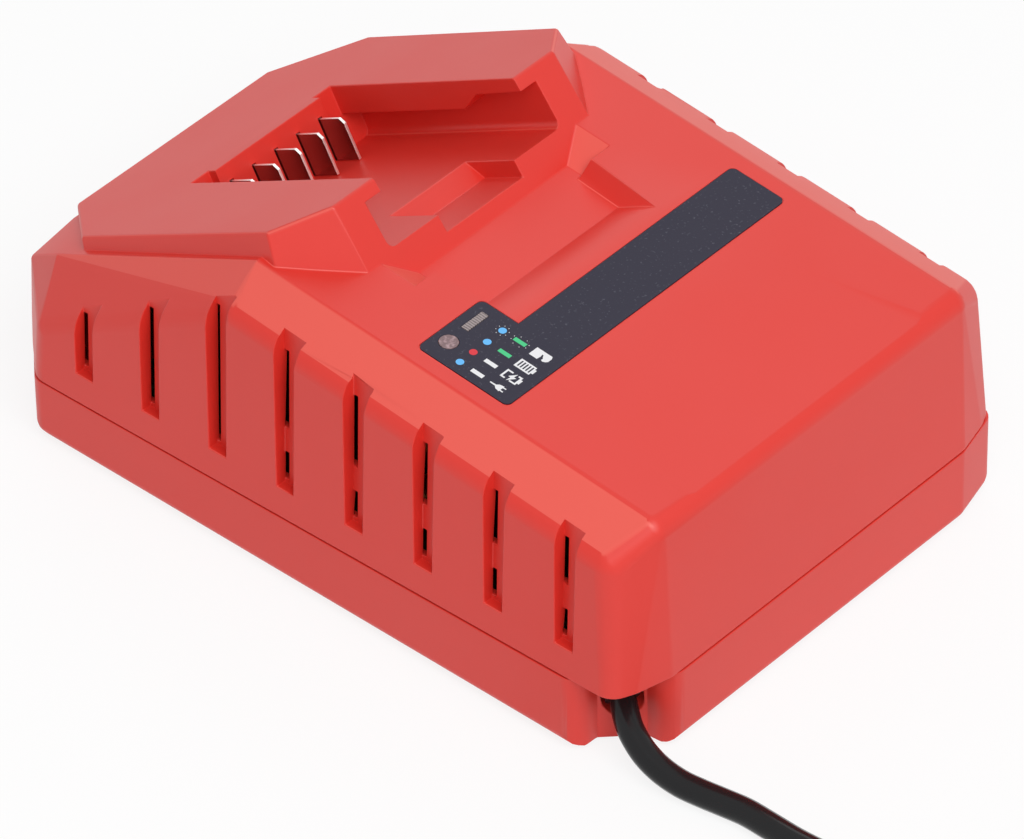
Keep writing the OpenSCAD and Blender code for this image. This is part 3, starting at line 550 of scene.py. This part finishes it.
# Painted sheen: a paler red is mixed into the shell on the slanting shoulders, so they look lit.
PAINTED_SHEEN_RED = (0.80, 0.10, 0.075)
FILM_SPECK = (0.10, 0.10, 0.13)
mixed_in(FINISHES["red_shell"], PAINTED_SHEEN_MASK, {}, PAINTED_SHEEN_RED, 1.0)
mixed_in(FINISHES["panel_film"], SPECKS, {"Scale": 1500.0, "Share": 0.38}, FILM_SPECK, 0.8)


def dress(obj, material):
    """Puts one material on every face of an object."""
    obj.data.materials.clear()
    obj.data.materials.append(material)
    if obj.type == "MESH":
        for face in obj.data.polygons:
            face.material_index = 0


dress(mains_lead, FINISHES["cord_rubber"])

# %% [markdown]
# ## Moulded pieces
# A moulded part has no sharp edge: every one is rounded by a few tenths of a millimetre, and that
# thin line of light along the edges is most of what makes it look real. So each housing half, the
# panel, the blades and the plug are copies of their CAD shapes, cleaned to plain faces. All but
# the plug, whose CAD edges are round already, get their sharp edges bevelled. The copy stands for
# the CAD node, which stays untouched. Where edges crowd together a bevel can throw a face off the
# surface, so each round of bevels is measured against the plain shape, and the edges beside a
# strayed face are left sharp in the next round.

# %% Softened edges
MERGE = 2e-6
ROUNDS = 6
BEVEL_STEPS = 2
SHARP_EDGE = math.radians(28)
SMOOTH_UP_TO = math.radians(35)
SLIVER_AREA = 2e-9
STRAYED_BY = 1.3
FOLDED_BELOW = 0.1
FIRST_REACH = 1.5


def plain_copy(node, flat):
    """The node's mesh with its seams joined and its flat faces whole."""
    bm = bmesh.new()
    bm.from_mesh(frame["nodes"][node].data)
    bmesh.ops.remove_doubles(bm, verts=bm.verts, dist=MERGE)
    bmesh.ops.dissolve_limit(bm, angle_limit=math.radians(flat), verts=bm.verts, edges=bm.edges)
    return bm


def bevelled(source, width, shortest, left_out):
    """A copy with its sharp edges rounded, and the ends of those edges by number."""
    bm = source.copy()
    bm.edges.ensure_lookup_table()
    edges = [
        e for e in bm.edges
        if e.index not in left_out
        and len(e.link_faces) == 2
        and e.calc_face_angle(0) > SHARP_EDGE
        and e.calc_length() > shortest * MM
    ]
    ends = {e.index: [v.co.copy() for v in e.verts] for e in edges}
    bmesh.ops.bevel(
        bm, geom=edges, offset=width * MM, offset_type="OFFSET", segments=BEVEL_STEPS,
        profile=0.5, affect="EDGES", clamp_overlap=False, loop_slide=False,
    )
    return bm, ends


def strayed_corners(bm, tree, width):
    """Corners of faces that a crowded bevel has thrown off the surface or folded over."""
    plain = bm.copy()
    bmesh.ops.triangulate(plain, faces=plain.faces)
    corners = []
    for face in plain.faces:
        if face.calc_area() < SLIVER_AREA:
            continue
        _, normal, _, distance = tree.find_nearest(face.calc_center_median())
        if distance > STRAYED_BY * width * MM or normal.dot(face.normal) < FOLDED_BELOW:
            corners += [v.co.copy() for v in face.verts]
    plain.free()
    return corners


def softened(source, width, shortest):
    """Bevels, looks for strayed faces, leaves out the edges near them and bevels again."""
    plain = source.copy()
    bmesh.ops.triangulate(plain, faces=plain.faces)
    tree = BVHTree.FromBMesh(plain)
    plain.free()
    left_out = set()
    for step in range(ROUNDS):
        bm, ends = bevelled(source, width, shortest, left_out)
        corners = strayed_corners(bm, tree, width)
        if not corners or step == ROUNDS - 1:
            break
        near = KDTree(len(corners))
        for index, corner in enumerate(corners):
            near.insert(corner, index)
        near.balance()
        reach = (FIRST_REACH + step) * width * MM
        left_out |= {
            index for index, pair in ends.items() if min(near.find(end)[2] for end in pair) < reach
        }
        bm.free()
    print(f"softened {len(ends)} edges in {step + 1} rounds, {len(corners) // 3} faces astray")
    return bm


# %% Moulded copy
def moulded(node, name, slot, width, shortest=0.5, flat=1.0):
    """A softened copy of a node: width and shortest edge in millimetres, flatness in degrees."""
    source = plain_copy(node, flat)
    bm = softened(source, width, shortest) if width > 0 else source
    mesh = bpy.data.meshes.new(name)
    bm.to_mesh(mesh)
    bm.free()
    for layer in ("custom_normal", "sharp_face"):
        if layer in mesh.attributes:
            mesh.attributes.remove(mesh.attributes[layer])
    mesh.shade_smooth()
    mesh.set_sharp_from_angle(angle=SMOOTH_UP_TO)
    obj = bpy.data.objects.new(name, mesh)
    scene.collection.objects.link(obj)
    weighted = obj.modifiers.new("even_shading", "WEIGHTED_NORMAL")
    weighted.keep_sharp = True
    dress(obj, FINISHES[slot])
    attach(obj, "root")
    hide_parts(node)
    print(f"{name}: {len(mesh.polygons)} faces")
    return obj


SHELL_EDGE = 0.35
moulded("upper_housing", "upper_shell", "red_shell", SHELL_EDGE, shortest=0.18, flat=0.06)
moulded("lower_housing", "lower_shell", "red_shell", SHELL_EDGE, shortest=0.18, flat=0.06)
moulded("label_overlay", "status_panel", "panel_film", 0.06)
plug = moulded("plug_body", "plug_shell", "cord_rubber", 0.0)

# %% [markdown]
# ## Contact blades
# The blades are stamped from tinned sheet. Their broad faces are smooth and mirror the red walls
# beside them, so they look dark, while the cut edges catch the light. One metal for both would
# lose that contrast, so the broad faces are picked by their direction and get a painted
# reflection: a darker, reddish copy of the metal with that shade and mirrored red painted in.

# %% Contact blades
BROAD_SIDE = 0.9
# Painted reflection and shade: the broad faces get a dark, reddish copy of the blade metal.
BLADE_PAINTED_REFLECTION = finish("contact_face_painted_reflection", (0.30, 0.22, 0.22), 0.24, grain=900, bump=0.003, tone=0.2,
                    metallic=1.0)
blades = moulded("contact_blades", "blades", "contact_metal", 0.1, shortest=0.3, flat=0.06)
blades.data.materials.append(BLADE_PAINTED_REFLECTION)
broad = [face for face in blades.data.polygons if abs(face.normal.x) > BROAD_SIDE]
for face in broad:
    face.material_index = 1
print("blades:", len(broad), "broad faces")

# %% [markdown]
# ## Marks on the panel
# The panel's film carries a small printed key beside its two lamps: dots and bars in the colours
# that the lamps can show, and a plain pictogram for each state. Ink could be a mask in the film's
# material, but then small shapes blur when the part is exported. Here each mark is a closed solid
# a few hundredths of a millimetre thick, drawn as an outline in the panel's own frame.

# %% The panel's own frame
TOP_ORIGIN = Vector((0, 22.5, 77.7))
TOP_FALL = math.radians(4.8)
FILM_TOP = -0.15
INK = 0.03
COLUMNS = (-30.5, -35.7, -40.4, -44.9)
DOT_Y = -54.9
BAR_Y = -60.2
ICON_Y = -66.6
DOT_R = 0.98
BAR_SIZE = (1.15, 3.5)
ICON_SCALE = (0.92, 0.95)
TICK_R = 0.11
TICKS = 8
DOT_TICKS = (1.6, 1.6)
BAR_TICKS = (1.5, 2.4)
CELL_GAP = (2.0, 0.36)
CELL_GAPS_AT = (-1.7, -0.9, -0.1, 0.7, 1.5)


def on_top(x, y, z):
    """A place on the sloping top, in millimetres from the ridge, z square to the surface."""
    return MM * Vector((
        x,
        TOP_ORIGIN.y + y * math.cos(TOP_FALL) - z * math.sin(TOP_FALL),
        TOP_ORIGIN.z + y * math.sin(TOP_FALL) + z * math.cos(TOP_FALL),
    ))


def inked(name, outlines, material, high=INK):
    """One piece with a thin closed solid over every outline."""
    bm = bmesh.new()
    for outline in outlines:
        low = [bm.verts.new(on_top(x, y, FILM_TOP - INK)) for x, y in outline]
        top = [bm.verts.new(on_top(x, y, FILM_TOP + high)) for x, y in outline]
        bm.faces.new(low)
        bm.faces.new(top)
        for k in range(len(outline)):
            n = (k + 1) % len(outline)
            bm.faces.new((low[k], low[n], top[n], top[k]))
    bmesh.ops.triangulate(bm, faces=[f for f in bm.faces if len(f.verts) > 4])
    bmesh.ops.recalc_face_normals(bm, faces=bm.faces)
    mesh = bpy.data.meshes.new(name)
    bm.to_mesh(mesh)
    bm.free()
    obj = bpy.data.objects.new(name, mesh)
    scene.collection.objects.link(obj)
    dress(obj, material)
    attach(obj, "root")
    print(f"{name}: {len(outlines)} marks")


# %% Outlines of the marks
def disc(x, y, radius, corners=28):
    turns = [2 * math.pi * k / corners for k in range(corners)]
    return [(x + radius * math.cos(a), y + radius * math.sin(a)) for a in turns]


def bar(x, y, wide=BAR_SIZE[0], long=BAR_SIZE[1]):
    corners = ((-1, -1), (1, -1), (1, 1), (-1, 1))
    return [(x + sx * wide / 2, y + sy * long / 2) for sx, sy in corners]


def ticks(x, y, across, along):
    """Rays round a mark, for a lamp that blinks."""
    turns = [2 * math.pi * (k + 0.5) / TICKS for k in range(TICKS)]
    return [disc(x + across * math.cos(a), y + along * math.sin(a), TICK_R, 8) for a in turns]


def icon(column, points):
    """An outline given from the pictogram's middle: first towards the front, then to the right."""
    across, along = ICON_SCALE
    return [(COLUMNS[column] + across * right, ICON_Y - along * front) for front, right in points]


battery = ((-2.6, 1.6), (2.2, 1.6), (2.2, 0.8), (2.75, 0.8), (2.75, -0.8), (2.2, -0.8), (2.2, -1.6),
           (-2.6, -1.6))
warm_battery = ((-2.6, 1.6), (2.2, 1.6), (2.6, 0.9), (2.6, -0.5), (2.2, -1.0), (1.5, -1.4),
                (0.9, -1.2), (1.0, -0.6), (0.6, -0.1), (0.3, 0.5), (-0.1, 0.5), (0.1, -0.3),
                (-0.1, -1.6), (-2.6, -1.6))
shell_rear = ((-0.7, 1.6), (-2.6, 1.6), (-2.6, -1.6), (-1.2, -1.6), (-1.2, -1.1), (-2.1, -1.1),
              (-2.1, 1.1), (-0.7, 1.1))
shell_front = ((1.0, 1.6), (2.2, 1.6), (2.2, 0.8), (2.75, 0.8), (2.75, -0.8), (2.2, -0.8),
               (2.2, -1.6), (0.2, -1.6), (0.2, -1.1), (1.7, -1.1), (1.7, 1.1), (1.0, 1.1))
bolt = ((0.5, 1.7), (0.35, 0.3), (1.1, 0.3), (-0.5, -1.8), (-0.25, -0.3), (-1.0, -0.3))
plug_mark = ((-2.7, 0.2), (-1.0, 0.25), (-0.4, 0.85), (0.9, 1.1), (0.9, 0.8), (1.8, 0.8),
             (1.8, 0.45), (0.9, 0.45), (0.9, -0.45), (1.8, -0.45), (1.8, -0.8), (0.9, -0.8),
             (0.9, -1.1), (-0.4, -0.85), (-1.0, -0.25), (-2.7, -0.2))

# %% Print the marks
PRINT = {
    "white": finish("printed_white", (0.80, 0.80, 0.82), 0.5, bump=0.005),
    "blue": finish("printed_blue", (0.12, 0.47, 0.90), 0.5, bump=0.005, tone=0.08),
    "green": finish("printed_green", (0.05, 0.56, 0.22), 0.5, bump=0.005, tone=0.08),
    "red": finish("printed_red", (0.66, 0.02, 0.035), 0.5, bump=0.005, tone=0.08),
}
inked("marks_blue", [disc(COLUMNS[k], DOT_Y, DOT_R) for k in (0, 1, 3)], PRINT["blue"])
inked("marks_red", [disc(COLUMNS[2], DOT_Y, DOT_R)], PRINT["red"])
inked("marks_green", [bar(COLUMNS[k], BAR_Y) for k in (0, 1)], PRINT["green"])
inked(
    "marks_white",
    [bar(COLUMNS[k], BAR_Y) for k in (2, 3)]
    + [icon(0, warm_battery), icon(1, battery), icon(2, shell_rear), icon(2, shell_front),
       icon(2, bolt), icon(3, plug_mark)]
    + ticks(COLUMNS[0], DOT_Y, *DOT_TICKS) + ticks(COLUMNS[0], BAR_Y, *BAR_TICKS),
    PRINT["white"],
)
inked(
    "marks_gaps", [bar(COLUMNS[1], ICON_Y - front, *CELL_GAP) for front in CELL_GAPS_AT],
    FINISHES["panel_film"], high=2 * INK,
)

# %% [markdown]
# ## Plain carried-over parts
# The rest already has its right shape, so it only gets its finish. The record says which slot
# each node belongs to, and one loop does the work. The two windows are smoky light guides: the
# bar-shaped one has fine ribs across it and the round one is frosted, so they get different
# effects over the same base.

# %% Dress the other nodes
replaced = {"upper_housing", "lower_housing", "label_overlay", "plug_body", "contact_blades",
            "mains_cord", "cord_coil", "plug_lead"}
slots = {s["node"]: s["material_slot"] for s in frame["record"]["subparts"]}
FROSTED = finish("window_lens", (0.15, 0.085, 0.09), 0.35, grain=700, bump=0.05, tone=0.4)
mixed_in(FROSTED, SPECKS, {"Scale": 1100.0, "Share": 0.62}, (0.46, 0.30, 0.32), 0.9)
FINISHES["window_lens"] = FROSTED
RIBBED = finish("window_ribbed", (0.10, 0.075, 0.075), 0.35, grain=700, bump=0.05, tone=0.4)
mixed_in(RIBBED, RIBS, {"Scale": 450.0, "Waver": 2.0}, (0.38, 0.31, 0.31), 0.9)
for node, obj in frame["nodes"].items():
    if node not in replaced:
        dress(obj, FINISHES[slots[node]])
dress(frame["nodes"]["status_window_bar"], RIBBED)
print("dressed", len(frame["nodes"]) - len(replaced), "nodes")
